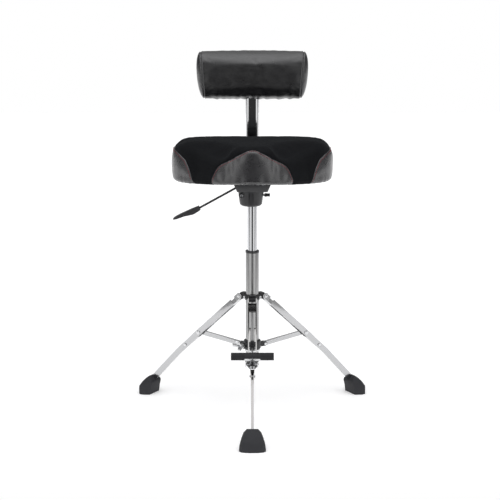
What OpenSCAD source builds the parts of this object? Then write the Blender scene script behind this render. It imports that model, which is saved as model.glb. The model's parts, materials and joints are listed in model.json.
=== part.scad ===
// Drum throne with a folding tripod, gas lift, moto-style seat, backrest and footrest.
// Millimetres. +Z is up, the drummer faces -Y and the front leg points to -Y.

/* [Column] */
// Outer diameter of the column tube
column_d = 38.1; // [37.9:0.1:38.3]
// Wall thickness of the column tube
column_wall = 1.6; // [1.4:0.1:2]
// Height of the column's lower end
column_bottom = 158; // [150:1:160]
// Height of the column's upper end
column_top = 478; // [460:1:490]

/* [Gas lift] */
// Outer diameter of the gas cylinder
cylinder_d = 28; // [28:0.1:28]
// Height of the gas cylinder's lower end with the seat raised
cylinder_bottom = 300; // [298:1:310]
// Diameter of the piston rod
rod_d = 10; // [8:0.5:12]

/* [Legs] */
// Distance from the column axis to a leg's pivot
leg_pivot_r = 39; // [38:0.5:40]
// Height of the leg pivots
leg_pivot_z = 345; // [340:1:350]
// Slope of a leg below horizontal, opened
leg_slope = 42.3; // [41:0.1:44]
// Further slope of the leg below its bend
leg_bend = 4.3; // [0:0.1:6]
// Distance along the leg from its pivot to the brace joint
brace_joint_x = 191; // [188:1:194]
// Outer width of a leg's channel
leg_w = 25; // [24:0.5:26]
// Sheet thickness of a leg
leg_sheet = 2; // [1.5:0.1:2.2]

/* [Braces] */
// Distance from the column axis to a brace's pivot
brace_pivot_r = 41; // [40:0.5:42]
// Height of the brace pivots, opened
brace_pivot_z = 199.5; // [198:0.5:201]
// Thickness of a brace
brace_t = 5; // [4:0.5:5]
// Height of a brace
brace_h = 14; // [12:1:14]

/* [Feet] */
// Radius of the outer edge of the feet
foot_r = 389.6; // [388:0.1:391]
// Width of a foot's sole
foot_w = 74; // [70:1:80]
// Height of a foot
foot_h = 57; // [56:1:60]

/* [Footrest] */
// Length of the footrest bar
footrest_l = 120; // [100:1:130]
// Diameter of the footrest's rubber sleeve
footrest_d = 21.6; // [21:0.2:22]

/* [Mechanism] */
// Height of the housing's lower end
housing_bottom = 616; // [614:1:618]
// Width of the mounting plate
plate_w = 104; // [100:1:108]
// Length of the lever's rod from its pivot to the handle
lever_rod_l = 133; // [120:1:140]

/* [Seat] */
// Width of the seat
seat_w = 467; // [440:1:480]
// Height of the seat's flat underside
seat_bottom = 690; // [690:1:690]
// Height of the seat's top
seat_top = 803; // [795:1:810]
// Thickness of the base board
board_t = 12; // [10:1:14]

/* [Backrest] */
// Width of the backrest pad
pad_w = 334; // [300:1:350]
// Height of the backrest pad
pad_h = 141; // [120:1:145]
// Depth of the backrest pad
pad_d = 84; // [75:1:84]
// Height of the backrest pad's centre
pad_z = 979.5; // [975:0.5:985]
// Width of the backrest post
post_w = 40; // [38:1:40]
// Depth of the backrest post
post_d = 20; // [18:1:20]

/* [Hidden] */
$fn = 64;

// Azimuths of the legs, and the gap between parts that move past each other
front = -90;
rear_left = 150;
rear_right = 30;
gap = 0.3;
running = 0.05;
eps = 0.01;

// The column stands forward of the middle of the object's plan
rear_reach = 268;
column_y = (foot_r - rear_reach) / 2;

column_r = column_d / 2;
cylinder_r = cylinder_d / 2;
rod_r = rod_d / 2;
tube_inner_r = column_r - column_wall;

// Piston rod and gas cylinder
journal_r = rod_r - 1;
plug_t = 6;
bearing_t = 5;
shoulder_z = column_bottom + plug_t + bearing_t + gap;
cylinder_top = 661;
cylinder_wall = 2;
cylinder_cap = 6;
pin_r = 3;
pin_top = 670.7;

// Collars
upper_collar_r = 25;
upper_collar_z = [338, 354];
collar_screw_z = 346;
lug_top = 356;
lug_w = leg_w - 2 * leg_sheet - 2 * gap;
lug_r = 6.5;
pivot_pin_r = 3;
lower_collar_r = 25;
lower_collar_z = [189, 216];
cheek_t = 4.4;
ear_r = 6.5;
brace_pin_r = 2.5;
wing_azimuth = 222;
wing_z = 203;
wing_shank_r = 4;

// Leg section: the web lies on the side of the column, the flanges stand outward
web_z = -9;
flange_z = 8.5;
flange_end_r = 9;
notch = [15.5, 31];
bend_x = 291;
lower_leg_w = 8;
lower_leg_l = 160;
leg_half_widths = [[205, leg_w / 2], [224, 8], [237, 6], [255, 5.5], [bend_x, lower_leg_w / 2]];
rivet_x = 259.5;

// Brace, from its pivot on the lower collar to its joint with the leg
brace_joint_r = leg_pivot_r + brace_joint_x * cos(leg_slope);
brace_joint_z = leg_pivot_z - brace_joint_x * sin(leg_slope);
brace_rise = atan2(brace_joint_z - brace_pivot_z, brace_joint_r - brace_pivot_r);
brace_l = norm([brace_joint_z - brace_pivot_z, brace_joint_r - brace_pivot_r]);
bush_r = 5;
bush_half = 6.5;

// Footrest, in the frame of the front leg
footrest_bolt_x = 233;
riser_x = 222;
footrest_x = 219.6;
footrest_z = 41.2;
bracket_t = 3;
bracket_z = 9;
bar_r = 6;

// Mechanism
plate_t = 4;
plate_bottom = seat_bottom - plate_t;
plate_front = -52;
plate_rear = 130;
plate_bolt_x = [-40, 40];
plate_bolt_y = [-36, 70];
housing_step = 662;
cone_x = -4;
lever_pivot = [-36, 0, 674];
lever_slope = 29;
handle_slope = 23;
lever_r = 3;
hub_r = 6;
handle_l = 84;
socket_l = 16;
knob_z = 647;
bolt_boss = [-31, -30, 650];

// Seat outline, right half, from the middle of the nose round to the middle of the rear
seat_half = [[0, -165], [56, -161], [100, -143], [130, -110], [160, -74], [198, -46], [225, -8],
             [233.5, 38], [229, 92], [198, 134], [130, 152], [60, 155]];
seat_scale = seat_w / 467;
seat_points = concat(seat_half, [[0, 156]],
                     [for (i = [len(seat_half) - 1 : -1 : 1]) [-seat_half[i][0], seat_half[i][1]]]);
curve_steps = 5;
nose_lift_y = -70;
nose_lift_angle = 8.4;
board_inset = 22;
thigh_r = 120;
thigh_slope = 32;
thigh_x = 160;
thigh_start_y = -20;

// Backrest
pad_y = 153;
post_y = 229;
post_top = 1034;
arm_z = 673;
arm_front = 58;
post_bend_r = 45;
post_wall = 2;
receiver_y = [54, plate_rear];
depth_knob_y = 112;
carrier_z = [945, 1005];
carrier_half = [26, 17];
tilt_y = 205;
tilt_z = 975;
tilt_pin_r = 3;
backboard_t = 10;
backboard_y = pad_y + pad_d / 2 - backboard_t;

// ---------------------------------------------------------------- helpers

module placed() translate([0, column_y, 0]) children();
module at_azimuth(a) placed() rotate([0, 0, a]) children();
module on_leg(a) at_azimuth(a) translate([leg_pivot_r, 0, leg_pivot_z])
    rotate([0, leg_slope, 0]) children();
module on_brace(a) at_azimuth(a) translate([brace_pivot_r, 0, brace_pivot_z])
    rotate([0, -brace_rise, 0]) children();

// Upright ring or disc from z0 to z1
module ring(r_out, r_in, z0, z1) {
    difference() {
        translate([0, 0, z0]) cylinder(r = r_out, h = z1 - z0);
        if (r_in > 0) translate([0, 0, z0 - 1]) cylinder(r = r_in, h = z1 - z0 + 2);
    }
}

// Round bar along the Y axis from y0 to y1
module bar_y(r, y0, y1) translate([0, y1, 0]) rotate([90, 0, 0]) cylinder(r = r, h = y1 - y0);

// Round bar along the X axis from x0 to x1
module bar_x(r, x0, x1) translate([x0, 0, 0]) rotate([0, 90, 0]) cylinder(r = r, h = x1 - x0);

// A rounded strip of width w between two points of the X axis
module strip(x0, x1, w) {
    translate([x0, -w / 2]) square([x1 - x0, w]);
    translate([x0, 0]) circle(d = w);
    translate([x1, 0]) circle(d = w);
}

// Flat-oval section of the backrest post, w wide and d deep
module flat_oval(w, d) {
    square([w - d, d], center = true);
    for (s = [-1, 1]) translate([s * (w - d) / 2, 0]) circle(d = d);
}

// Knurled hand knob along +Z: a hub, and a head with finger lobes
module knob(hub, head_r, hub_l, head_l) {
    cylinder(r = hub, h = hub_l + eps);
    translate([0, 0, hub_l]) difference() {
        cylinder(r = head_r, h = head_l);
        for (i = [0 : 4])
            rotate([0, 0, 72 * i]) translate([head_r * 1.22, 0, -1])
                cylinder(r = head_r * 0.42, h = head_l + 2);
    }
}

// Catmull-Rom curve through four points, and a closed curve through a list of points
function blend4(a, b, c, d, t) =
    ((2 * b) + (c - a) * t + (2 * a - 5 * b + 4 * c - d) * t * t
     + (3 * b - a - 3 * c + d) * t * t * t) / 2;
function closed_curve(p) = [for (i = [0 : len(p) - 1], k = [0 : curve_steps - 1])
    blend4(p[(i + len(p) - 1) % len(p)], p[i], p[(i + 1) % len(p)], p[(i + 2) % len(p)],
           k / curve_steps)];
function inset_curve(p, d) = [for (i = [0 : len(p) - 1])
    let (t = p[(i + 1) % len(p)] - p[(i + len(p) - 1) % len(p)])
    p[i] + d * [-t[1], t[0]] / norm(t)];

// ---------------------------------------------------------------- column

module column_tube() {
    color("silver") placed() ring(column_r, tube_inner_r, column_bottom, column_top);
}

module column_bushing() {
    color("black") placed() {
        sleeve_l = 80;
        rim_h = 6;
        ring(tube_inner_r, cylinder_r + running, column_top - sleeve_l, column_top + eps);
        ring(column_r + 0.8, cylinder_r + running, column_top, column_top + rim_h);
    }
}

module upper_collar() {
    color("black") difference() {
        union() {
            placed() {
                ring(upper_collar_r, 0, upper_collar_z[0] + 4, upper_collar_z[1] - 2);
                translate([0, 0, upper_collar_z[0]])
                    cylinder(r1 = upper_collar_r - 3, r2 = upper_collar_r, h = 4);
                translate([0, 0, upper_collar_z[1] - 2])
                    cylinder(r1 = upper_collar_r, r2 = upper_collar_r - 2, h = 2);
            }
            for (a = [front, rear_left, rear_right]) at_azimuth(a) {
                translate([column_r + 1, -lug_w / 2, leg_pivot_z - lug_r])
                    cube([leg_pivot_r - column_r - 1, lug_w, 2 * lug_r]);
                translate([column_r + 1, -lug_w / 2, leg_pivot_z - lug_r])
                    cube([leg_pivot_r - column_r - 4, lug_w, lug_top - leg_pivot_z + lug_r]);
                translate([leg_pivot_r, 0, leg_pivot_z]) bar_y(lug_r, -lug_w / 2, lug_w / 2);
            }
        }
        placed() translate([0, 0, upper_collar_z[0] - 10]) cylinder(r = column_r, h = 45);
        for (a = [front, rear_left, rear_right]) at_azimuth(a) {
            translate([leg_pivot_r, 0, leg_pivot_z]) bar_y(pivot_pin_r, -lug_w, lug_w);
            rotate([0, 0, 60]) translate([0, 0, collar_screw_z]) bar_x(pivot_pin_r, column_r - 1, 40);
        }
    }
}

module collar_screws() {
    color("silver") for (a = [front, rear_left, rear_right])
        at_azimuth(a + 60) translate([0, 0, collar_screw_z]) difference() {
            union() {
                bar_x(pivot_pin_r, column_r, upper_collar_r + 1);
                bar_x(4.4, upper_collar_r, upper_collar_r + 3);
            }
            translate([upper_collar_r + 1, 0, 0]) rotate([0, 90, 0])
                cylinder(r = 2.5, h = 5, $fn = 6);
        }
}

module leg_pivot_pins() {
    half = leg_w / 2 + gap;
    color("silver") for (a = [front, rear_left, rear_right])
        at_azimuth(a) translate([leg_pivot_r, 0, leg_pivot_z]) {
            bar_y(pivot_pin_r, -half, half);
            for (s = [-1, 1]) {
                translate([0, s * (half + 0.6), 0]) bar_y(4.4, -0.6, 0.6);
                translate([0, s * (half + 1.6), 0]) bar_y(2.8, -0.45, 0.45);
            }
        }
}

module stop_ring() {
    color("silver") placed()
        ring(23, column_r, lower_collar_z[0] - gap - 5.2, lower_collar_z[0] - gap);
}

module base_plug() {
    color("dimgray") placed()
        ring(tube_inner_r, journal_r + running, column_bottom, column_bottom + plug_t);
}

module thrust_bearing() {
    color("silver") placed()
        ring(10, journal_r + running, column_bottom + plug_t, column_bottom + plug_t + bearing_t);
}

// ---------------------------------------------------------------- gas lift

module piston_rod() {
    color("silver") placed() {
        ring(journal_r, 0, column_bottom - 6, shoulder_z + eps);
        ring(8, 0, shoulder_z, shoulder_z + 2.7);
        ring(rod_r, 0, shoulder_z + 2.6, cylinder_bottom + 12);
        ring(cylinder_r - cylinder_wall - running, 0,
             cylinder_bottom + cylinder_cap + 4, cylinder_bottom + cylinder_cap + 12);
    }
}

module rod_clip() {
    color("black") placed() difference() {
        ring(8, journal_r, column_bottom - 3, column_bottom - gap);
        translate([0, -2, column_bottom - 5]) cube([10, 4, 8]);
    }
}

module gas_cylinder() {
    color("silver") placed() difference() {
        union() {
            ring(cylinder_r, 0, cylinder_bottom + 1, cylinder_top - 2);
            translate([0, 0, cylinder_bottom])
                cylinder(r1 = cylinder_r - 1, r2 = cylinder_r, h = 1);
            translate([0, 0, cylinder_top - 2])
                cylinder(r1 = cylinder_r, r2 = cylinder_r - 2, h = 2);
        }
        translate([0, 0, cylinder_bottom + cylinder_cap])
            cylinder(r = cylinder_r - cylinder_wall, h = 334);
        translate([0, 0, cylinder_bottom - 1]) cylinder(r = rod_r + running, h = 20);
        translate([0, 0, cylinder_top - 30]) cylinder(r = pin_r + running, h = 40);
    }
}

module release_pin() {
    color("silver") placed() ring(pin_r, 0, pin_top - 24, pin_top);
}

// ---------------------------------------------------------------- mechanism

module housing_solid() {
    top = plate_w / 2;
    // Flared upper part: a trapezoid seen from the front and from the side
    intersection() {
        translate([0, 60, 0]) rotate([90, 0, 0]) linear_extrude(120)
            polygon([[-top, plate_bottom], [top, plate_bottom], [top, plate_bottom - 4],
                     [43.5, housing_step], [-43.5, housing_step], [-top, plate_bottom - 4]]);
        translate([-60, 0, 0]) rotate([90, 0, 90]) linear_extrude(120)
            polygon([[-48, plate_bottom], [48, plate_bottom], [48, plate_bottom - 4],
                     [41, housing_step], [-41, housing_step], [-48, plate_bottom - 4]]);
    }
    // Conical lower part with a rounded end, set towards the lever
    cone_h = housing_step - housing_bottom + 2;
    translate([cone_x, 0, housing_bottom]) rotate_extrude()
        polygon([[0, 0], [23, 0], [28, 1.5], [32, 5.5], [38, cone_h], [0, cone_h]]);
    translate([bolt_boss[0], 0, bolt_boss[2]]) bar_y(8, bolt_boss[1], 0);
}

module mechanism_housing() {
    color([0.12, 0.12, 0.13]) placed() difference() {
        housing_solid();
        translate([0, 0, housing_bottom - 1])
            cylinder(r = cylinder_r, h = cylinder_top - housing_bottom + 1);
        // Room for the lever's inner arm above the cylinder, and its slot in the left wall
        translate([-31, -6, 658]) cube([41, 12, 24]);
        translate([0, 0, cylinder_top - 1]) cylinder(r = 8, h = 12);
        translate([-70, -4.3, 646]) cube([50, 8.6, 36]);
        translate([lever_pivot[0], 0, lever_pivot[2]]) bar_y(2.5, -10, 10);
        // Ribs between two upright grooves on the front
        for (x = [-8.4, 1.5]) translate([x - 1.3, -42, 629]) cube([2.6, 9.5, 28]);
        translate([bolt_boss[0], 0, bolt_boss[2]]) bar_y(2.5, bolt_boss[1] - 1, -8);
        translate([0, 0, knob_z]) bar_x(2.5 + running, 20, 50);
        for (x = plate_bolt_x) translate([x, plate_bolt_y[0], 650]) cylinder(r = 3, h = 50);
    }
}

module housing_bolt() {
    color("silver") placed() translate([bolt_boss[0], 0, bolt_boss[2]]) {
        bar_y(2.5, bolt_boss[1] - eps, -8);
        bar_y(4.4, bolt_boss[1] - 2.4, bolt_boss[1]);
        bar_y(3.2, bolt_boss[1] - 3.4, bolt_boss[1] - 2.4 + eps);
    }
}

module mounting_plate() {
    color("dimgray") placed() difference() {
        translate([-plate_w / 2, plate_front, plate_bottom])
            cube([plate_w, plate_rear - plate_front, plate_t]);
        for (x = plate_bolt_x, y = plate_bolt_y)
            translate([x, y, plate_bottom - 1]) cylinder(r = 3, h = 10);
    }
}

module mounting_bolts() {
    color("silver") placed() for (x = plate_bolt_x) {
        translate([x, plate_bolt_y[0], 668]) cylinder(r = 3, h = 32);
        translate([x, plate_bolt_y[1], plate_bottom]) cylinder(r = 3, h = 14);
        translate([x, plate_bolt_y[1], plate_bottom - 3]) cylinder(r1 = 4.5, r2 = 5.5, h = 3);
    }
}

module lever_pivot_pin() {
    color("silver") placed() translate([lever_pivot[0], 0, lever_pivot[2]]) bar_y(2.5, -10, 10);
}

module lever_rod() {
    color("black") placed() translate(lever_pivot) difference() {
        union() {
            bar_y(hub_r, -3.9, 3.9);
            bar_x(lever_r, 0, 39.5);
            rotate([0, -lever_slope, 0]) bar_x(lever_r, -lever_rod_l - socket_l, 0);
        }
        bar_y(2.5 + running, -5, 5);
    }
}

// Moulded paddle that continues the rod at a shallower slope: thick at the grip, flat at the tip
module lever_handle() {
    side = [[0, 6.2], [-22, 6.4], [-40, 5.8], [-56, 5.4], [-70, 4.2], [-handle_l + 4, 2.8], [-handle_l, 1],
            [-handle_l, -1.4], [-handle_l + 4, -2.8], [-66, -4], [-52, -4.4], [-36, -7.6], [-25, -9.8],
            [-18, -9.4], [0, -6.2]];
    plan = [[0, 7], [-20, 8.6], [-40, 9.6], [-60, 10.6], [-72, 10], [-80, 7.4], [-handle_l, 3.4]];
    color("black") placed() translate(lever_pivot) rotate([0, -lever_slope, 0])
        translate([-lever_rod_l, 0, 0]) difference() {
            rotate([0, lever_slope - handle_slope, 0]) intersection() {
                translate([0, 20, 0]) rotate([90, 0, 0]) linear_extrude(40) polygon(side);
                translate([0, 0, -20]) linear_extrude(40)
                    polygon(concat(plan, [for (i = [len(plan) - 1 : -1 : 0]) [plan[i][0], -plan[i][1]]]));
            }
            bar_x(lever_r, -socket_l, 20);
        }
}

module tension_knob() {
    color("black") placed() translate([0, 0, knob_z]) {
        bar_x(2.5, 24, 36);
        bar_x(4.6, 35, 51);
        bar_x(5.4, 37, 41);
    }
}

// ---------------------------------------------------------------- seat

module seat_prism(inset, z0, z1) {
    curve = closed_curve([for (p = seat_points) p * seat_scale]);
    translate([0, 0, z0]) linear_extrude(z1 - z0) polygon(inset_curve(curve, inset));
}

// Space below the nose, whose underside rises to the front
module nose_relief() {
    translate([-300, nose_lift_y, seat_bottom]) rotate([-nose_lift_angle, 0, 0])
        translate([0, -200, -60]) cube([600, 200, 60]);
}

module seat_board() {
    color("burlywood") placed() difference() {
        seat_prism(board_inset, seat_bottom, seat_bottom + board_t);
        nose_relief();
        for (x = plate_bolt_x, y = plate_bolt_y)
            translate([x, y, seat_bottom - 1]) cylinder(r = 5, h = board_t + 2);
    }
}

module seat_tee_nuts() {
    color("silver") placed() for (x = plate_bolt_x, y = plate_bolt_y)
        translate([x, y, 0]) ring(5, 3, seat_bottom, seat_bottom + board_t);
}

module seat_cushion() {
    color("black") placed() difference() {
        union() {
            seat_prism(7, seat_bottom, seat_bottom + 12);
            seat_prism(0, seat_bottom + 12, seat_top - 26);
            seat_prism(8, seat_top - 26, seat_top - 10);
            seat_prism(24, seat_top - 10, seat_top);
        }
        seat_prism(board_inset, seat_bottom - 1, seat_bottom + board_t);
        nose_relief();
        // Hollows for the thighs either side of the nose
        for (s = [-1, 1])
            translate([s * thigh_x, thigh_start_y, seat_top + thigh_r / cos(thigh_slope)])
                rotate([90 + thigh_slope, 0, 0]) translate([0, 0, -150])
                    cylinder(r = thigh_r, h = 500);
    }
}

// ---------------------------------------------------------------- backrest

module backrest_receiver() {
    color("black") placed() difference() {
        translate([-25, receiver_y[0], plate_bottom - 27])
            cube([50, receiver_y[1] - receiver_y[0], 27]);
        translate([0, receiver_y[1] + 1, arm_z]) rotate([90, 0, 0])
            linear_extrude(receiver_y[1] - receiver_y[0] + 2)
                flat_oval(post_w + 2 * gap, post_d + 2 * gap);
        translate([0, depth_knob_y, arm_z]) bar_x(4 + running, 10, 30);
    }
}

// Post section swept along the arm, the bend and the upright
module post_sweep(w, d, overrun) {
    translate([0, post_y - post_bend_r, arm_z]) rotate([90, 0, 0])
        linear_extrude(post_y - post_bend_r - arm_front + overrun) flat_oval(w, d);
    translate([0, post_y - post_bend_r, arm_z + post_bend_r]) rotate([0, 90, 0])
        rotate_extrude(angle = 90) translate([post_bend_r, 0]) rotate([0, 0, 90]) flat_oval(w, d);
    translate([0, post_y, arm_z + post_bend_r])
        linear_extrude(post_top - arm_z - post_bend_r + overrun) flat_oval(w, d);
}

module backrest_post() {
    color("silver") placed() difference() {
        post_sweep(post_w, post_d, 0);
        post_sweep(post_w - 2 * post_wall, post_d - 2 * post_wall, 1);
    }
}

module post_cap() {
    color("black") placed() {
        translate([0, post_y, post_top - 12]) linear_extrude(12 + eps)
            flat_oval(post_w - 2 * post_wall, post_d - 2 * post_wall);
        translate([0, post_y, post_top]) linear_extrude(3) flat_oval(post_w, post_d);
    }
}

module depth_knob() {
    color("black") placed() translate([post_w / 2 + gap, depth_knob_y, arm_z]) rotate([0, 90, 0]) {
        cylinder(r = 4, h = 6);
        translate([0, 0, 25 - post_w / 2]) knob(7, 12, 5, 14);
    }
}

module height_carrier() {
    color("black") placed() difference() {
        union() {
            translate([-carrier_half[0], post_y - carrier_half[1], carrier_z[0]])
                cube([2 * carrier_half[0], 2 * carrier_half[1], carrier_z[1] - carrier_z[0]]);
            translate([-19.6, tilt_y, tilt_z - 6.5])
                cube([39.2, post_y - carrier_half[1] - tilt_y + 1, 13]);
            translate([0, tilt_y, tilt_z]) bar_x(6.5, -19.6, 19.6);
        }
        translate([0, post_y, carrier_z[0] - 1]) linear_extrude(carrier_z[1] - carrier_z[0] + 2)
            flat_oval(post_w + 2 * gap, post_d + 2 * gap);
        translate([0, tilt_y, tilt_z]) bar_x(tilt_pin_r, -30, 30);
        translate([0, 0, tilt_z]) bar_y(4 + running, post_y, post_y + 30);
    }
}

module tilt_pin() {
    color("silver") placed() translate([0, tilt_y, tilt_z]) {
        bar_x(tilt_pin_r, -24, 24);
        for (s = [-1, 1]) translate([s * 24.8, 0, 0]) bar_x(5, -1.4, 1.4);
    }
}

module height_knob() {
    color("black") placed() translate([0, post_y + post_d / 2 + gap, tilt_z]) rotate([-90, 0, 0]) {
        cylinder(r = 4, h = 9);
        translate([0, 0, carrier_half[1] - post_d / 2]) knob(8, 16, 6, 16 - gap);
    }
}

module backrest_bracket() {
    color("black") placed() difference() {
        union() {
            translate([-40, pad_y + pad_d / 2, tilt_z - 28]) cube([80, 3, 56]);
            for (s = [-1, 1]) translate([s * 21.5, 0, 0]) {
                translate([-1.5, pad_y + pad_d / 2 + 3 - eps, tilt_z - 6.5])
                    cube([3, tilt_y - pad_y - pad_d / 2 - 3, 13]);
                translate([0, tilt_y, tilt_z]) bar_x(6.5, -1.5, 1.5);
            }
        }
        translate([0, tilt_y, tilt_z]) bar_x(tilt_pin_r + running, -30, 30);
        for (x = [-32, 32], z = [-20, 20])
            translate([x, 0, tilt_z + z]) bar_y(2.5, 150, 220);
    }
}

module backrest_screws() {
    color("silver") placed() for (x = [-32, 32], z = [-20, 20])
        translate([x, 0, tilt_z + z]) {
            bar_y(2.5, backboard_y + 1, pad_y + pad_d / 2 + 3 + eps);
            bar_y(4.5, pad_y + pad_d / 2 + 3, pad_y + pad_d / 2 + 5.5);
        }
}

module backrest_board() {
    color("burlywood") placed() difference() {
        translate([-135, backboard_y, tilt_z - 45]) cube([270, backboard_t, 90]);
        for (x = [-32, 32], z = [-20, 20])
            translate([x, 0, tilt_z + z]) bar_y(2.5, backboard_y + 1, 220);
    }
}

// Upright section of the backrest pad, scaled by k about its centre
function pad_section(k) = [for (a = [0 : 6 : 354])
    let (c = cos(a), s = sin(a), n = 0.72)
    [k * pad_d / 2 * sign(c) * pow(abs(c), n), k * pad_h / 2 * sign(s) * pow(abs(s), n)]];

module pad_slice(k, x0, x1) {
    translate([x0, pad_y, pad_z]) rotate([90, 0, 90]) linear_extrude(x1 - x0)
        polygon(pad_section(k));
}

module backrest_pad() {
    half = pad_w / 2;
    color("black") placed() difference() {
        union() {
            pad_slice(1, -half + 16, half - 16);
            for (s = [0, 1]) mirror([s, 0, 0]) {
                pad_slice(0.93, half - 16, half - 6);
                pad_slice(0.8, half - 6, half);
            }
        }
        translate([-135, backboard_y, tilt_z - 45]) cube([270, 40, 90]);
    }
}

// ---------------------------------------------------------------- tripod

module lower_collar() {
    slot = brace_t + 2 * gap;
    color("black") difference() {
        union() {
            placed() {
                ring(lower_collar_r, 0, lower_collar_z[0] + 3, lower_collar_z[1] - 2);
                translate([0, 0, lower_collar_z[0]])
                    cylinder(r1 = lower_collar_r - 2.5, r2 = lower_collar_r, h = 3);
                translate([0, 0, lower_collar_z[1] - 2])
                    cylinder(r1 = lower_collar_r, r2 = lower_collar_r - 2, h = 2);
            }
            for (a = [front, rear_left, rear_right]) at_azimuth(a) {
                half = slot / 2 + cheek_t;
                translate([column_r + 1, -half, brace_pivot_z - ear_r])
                    cube([brace_pivot_r - column_r - 1, 2 * half, 2 * ear_r]);
                translate([brace_pivot_r, 0, brace_pivot_z]) bar_y(ear_r, -half, half);
            }
            at_azimuth(wing_azimuth) translate([0, 0, wing_z]) bar_x(9, column_r + 1, 35);
        }
        placed() translate([0, 0, 180]) cylinder(r = column_r + running, h = 60);
        for (a = [front, rear_left, rear_right]) at_azimuth(a) {
            translate([brace_pivot_r - brace_h / 2 - 1, -slot / 2, brace_pivot_z - 20])
                cube([40, slot, 50]);
            translate([brace_pivot_r, 0, brace_pivot_z]) bar_y(brace_pin_r, -20, 20);
        }
        at_azimuth(wing_azimuth) translate([0, 0, wing_z])
            bar_x(wing_shank_r + running, column_r - 2, 60);
    }
}

module brace_pivot_pins() {
    half = brace_t / 2 + gap + cheek_t;
    color("silver") for (a = [front, rear_left, rear_right])
        at_azimuth(a) translate([brace_pivot_r, 0, brace_pivot_z]) {
            bar_y(brace_pin_r, -half, half);
            for (s = [-1, 1]) translate([0, s * (half + 0.8), 0]) bar_y(4.4, -0.8, 0.8);
        }
}

// Clamping bolt with two wings, screwed radially through the lower collar
module wing_bolt() {
    color("silver") at_azimuth(wing_azimuth) translate([0, 0, wing_z]) rotate([-20, 0, 0]) {
        bar_x(wing_shank_r, column_r + gap, 44);
        bar_x(7, 38, 52);
        for (s = [-1, 1]) scale([1, s, 1]) rotate([90, 0, 0]) translate([0, 0, -2])
            linear_extrude(4) polygon([[41, 0], [53, 0], [66, 11], [71, 19], [66, 23], [57, 19]]);
        for (s = [-1, 1]) translate([45, 0, 0]) rotate([0, 0, s * 38])
            translate([0, -5.5, -2]) cube([25, 11, 4]);
    }
}

module brace(a) {
    color("silver") on_brace(a) difference() {
        translate([0, brace_t / 2, 0]) rotate([90, 0, 0]) linear_extrude(brace_t)
            strip(0, brace_l, brace_h);
        bar_y(brace_pin_r + running, -10, 10);
        translate([brace_l, 0, 0]) bar_y(bush_r, -10, 10);
    }
}

// Bush through the brace's outer end, between the rivets of the leg's flanges
module brace_bush(a) {
    color("silver") on_brace(a) translate([brace_l, 0, 0]) bar_y(bush_r, -bush_half, bush_half);
}

function leg_outline(shrink) = concat(
    [for (p = leg_half_widths) [p[0], p[1] - shrink]],
    [for (i = [len(leg_half_widths) - 1 : -1 : 0])
        [leg_half_widths[i][0], shrink - leg_half_widths[i][1]]]);

module leg(a) {
    half = leg_w / 2;
    inner = half - leg_sheet;
    h = flange_z - web_z;
    color("silver") on_leg(a) difference() {
        union() {
            translate([0, -half, web_z]) cube([205, leg_w, h]);
            bar_y(flange_end_r, -half, half);
            translate([0, 0, web_z]) linear_extrude(h)
                polygon(concat([[204, -half], [204, half]], leg_outline(0)));
            translate([bend_x, 0, 0]) rotate([0, leg_bend, 0])
                translate([-2, -lower_leg_w / 2, web_z]) cube([lower_leg_l + 2, lower_leg_w, h]);
        }
        // Inside of the channel, open outward
        translate([8, -inner, web_z + leg_sheet]) cube([197, 2 * inner, h]);
        translate([-20, -inner, -20]) cube([28, 2 * inner, 40]);
        translate([0, 0, web_z + leg_sheet]) linear_extrude(h)
            polygon(concat([[204, -inner], [204, inner]], leg_outline(leg_sheet)));
        // Hollow of the closed lower section
        translate([bend_x, 0, 0]) rotate([0, leg_bend, 0])
            translate([-1, -lower_leg_w / 2 + leg_sheet, web_z + leg_sheet])
                cube([lower_leg_l + 10, lower_leg_w - 2 * leg_sheet, h - 2 * leg_sheet]);
        // Notch in both flanges
        translate([notch[0], -20, web_z + leg_sheet]) cube([notch[1] - notch[0], 40, h]);
        // Slot in the web for the lower collar and the brace when folded
        translate([38, -9.3, -20]) cube([54, 18.6, 16]);
        translate([91, -4.5, -20]) cube([50, 9, 16]);
        translate([139, -9.5, -20]) cube([66, 19, 16]);
        // Holes for the pivot pin and the rivets
        bar_y(pivot_pin_r + running, -20, 20);
        translate([brace_joint_x, 0, 0]) bar_y(3.5, -20, 20);
        translate([rivet_x, 0, 0]) bar_y(2.5, -20, 20);
        if (a == front) translate([footrest_bolt_x, 0, -20]) cylinder(r = 4, h = 20);
    }
}

module leg_rivets(a) {
    half = leg_w / 2;
    color("silver") on_leg(a) {
        translate([brace_joint_x, 0, 0]) for (s = [-1, 1]) {
            translate([0, s * (half + bush_half + gap) / 2, 0])
                bar_y(3.5, -(half - bush_half - gap) / 2, (half - bush_half - gap) / 2);
            translate([0, s * (half + 0.8), 0]) bar_y(6.2, -0.8, 0.8);
            translate([0, s * (half + 2), 0]) bar_y(4.5, -0.45, 0.45);
        }
        translate([rivet_x, 0, 0]) {
            bar_y(2.5, -8, 8);
            for (s = [-1, 1]) translate([0, s * 6.9, 0]) bar_y(4.5, -1.2, 1.2);
        }
    }
}

// Half width of a foot at height z
function foot_half(z) = 15.4 + (foot_w / 2 - 15.4) * (1 - pow(z / foot_h, 2.1));

// Side outline of a foot: distance inward from its outer edge, and height
foot_side = [[0, 0], [2.6, 14], [8.6, 28], [16.6, 41], [25.6, 51], [33, foot_h], [37, foot_h],
             [47.5, 43], [49, 37], [44, 20], [41, 0]];
// Sole outline, near half: distance inward from the outer edge, and part of the half width
foot_sole = [[0, 0.2], [1, 0.5], [4, 0.78], [9, 0.94], [15, 1], [22, 0.98], [40, 0.74], [60, 0.6]];

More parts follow.
